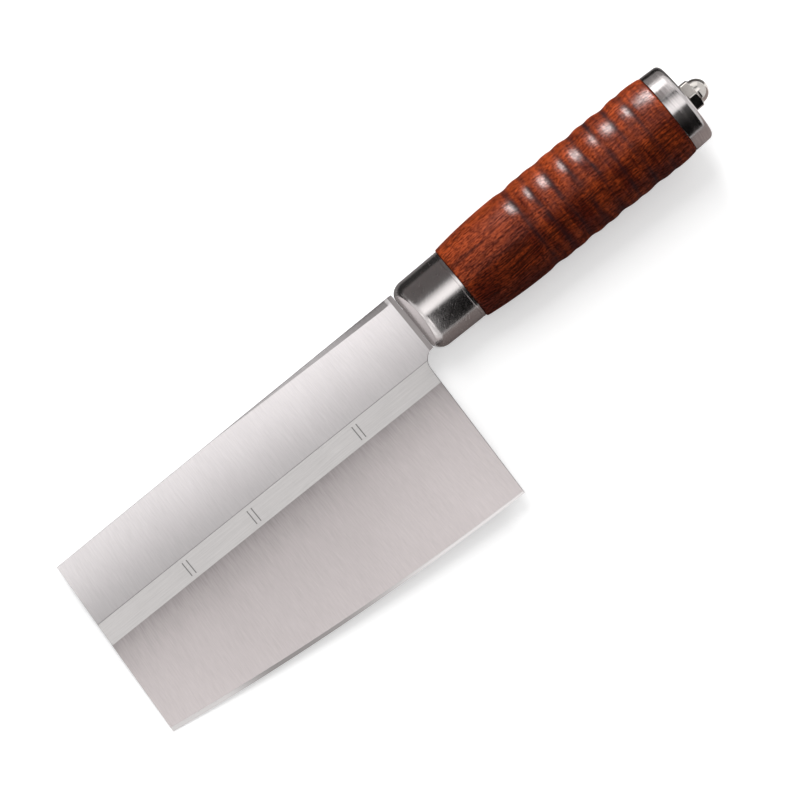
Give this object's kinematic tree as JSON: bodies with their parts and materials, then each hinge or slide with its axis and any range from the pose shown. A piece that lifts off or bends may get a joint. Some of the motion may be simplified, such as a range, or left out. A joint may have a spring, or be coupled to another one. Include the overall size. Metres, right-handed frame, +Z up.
{
  "type": "butcher knife",
  "caption": "Straight-spined slicing cleaver: a hollow-ground steel blade on a tang, with a ferrule, a ringed wooden grip and an end cap drawn up by a dome nut.",
  "frame": {"origin": "centre of the knife's footprint box, on the table that it lies on", "axes": "+X along the handle from tip to tail, +Y towards the spine, +Z up out of the upper flank; the handle's axis climbs 4 degrees towards the tail and the blade leans 2.5 degrees, because the knife lies on the front corner of its edge, the ferrule's shoulder and the swell of the grip"},
  "size_m": [0.2734, 0.0834, 0.0363],
  "materials": {
    "blade_steel": "satin, ground across the blade",
    "rod_steel": "drawn bar, threaded tail",
    "ferrule_steel": "buffed",
    "grip_wood": "turned red-brown hardwood, oiled",
    "resin": "cast in place",
    "cap_steel": "brushed round the axis",
    "washer_steel": "plain",
    "nut_plate": "bright nickel plate"
  },
  "bodies": {
    "knife": {"blade": "blade_steel", "tang_rod": "rod_steel", "front_ferrule": "ferrule_steel", "wood_grip": "grip_wood", "resin_fill": "resin", "end_cap": "cap_steel"},
    "washer": {"nut_washer": "washer_steel"},
    "nut": {"dome_nut": "nut_plate"}
  },
  "joints": [
    {"name": "nut_turn", "type": "hinge", "parent": "knife", "child": "washer", "pos_m": [0.12845, 0.02566, 0.02129], "axis": [0.9975, -0.0016, 0.0704], "range_deg": [0, 1620.05]},
    {"name": "nut_travel", "type": "slide", "parent": "washer", "child": "nut", "axis": [0.9975, -0.0016, 0.0704], "range_m": [0, 0.0045]}
  ],
  "couplings": [
    {"joint": "nut_turn", "follows": "nut_travel", "rad_per_m": 6283.2}
  ]
}
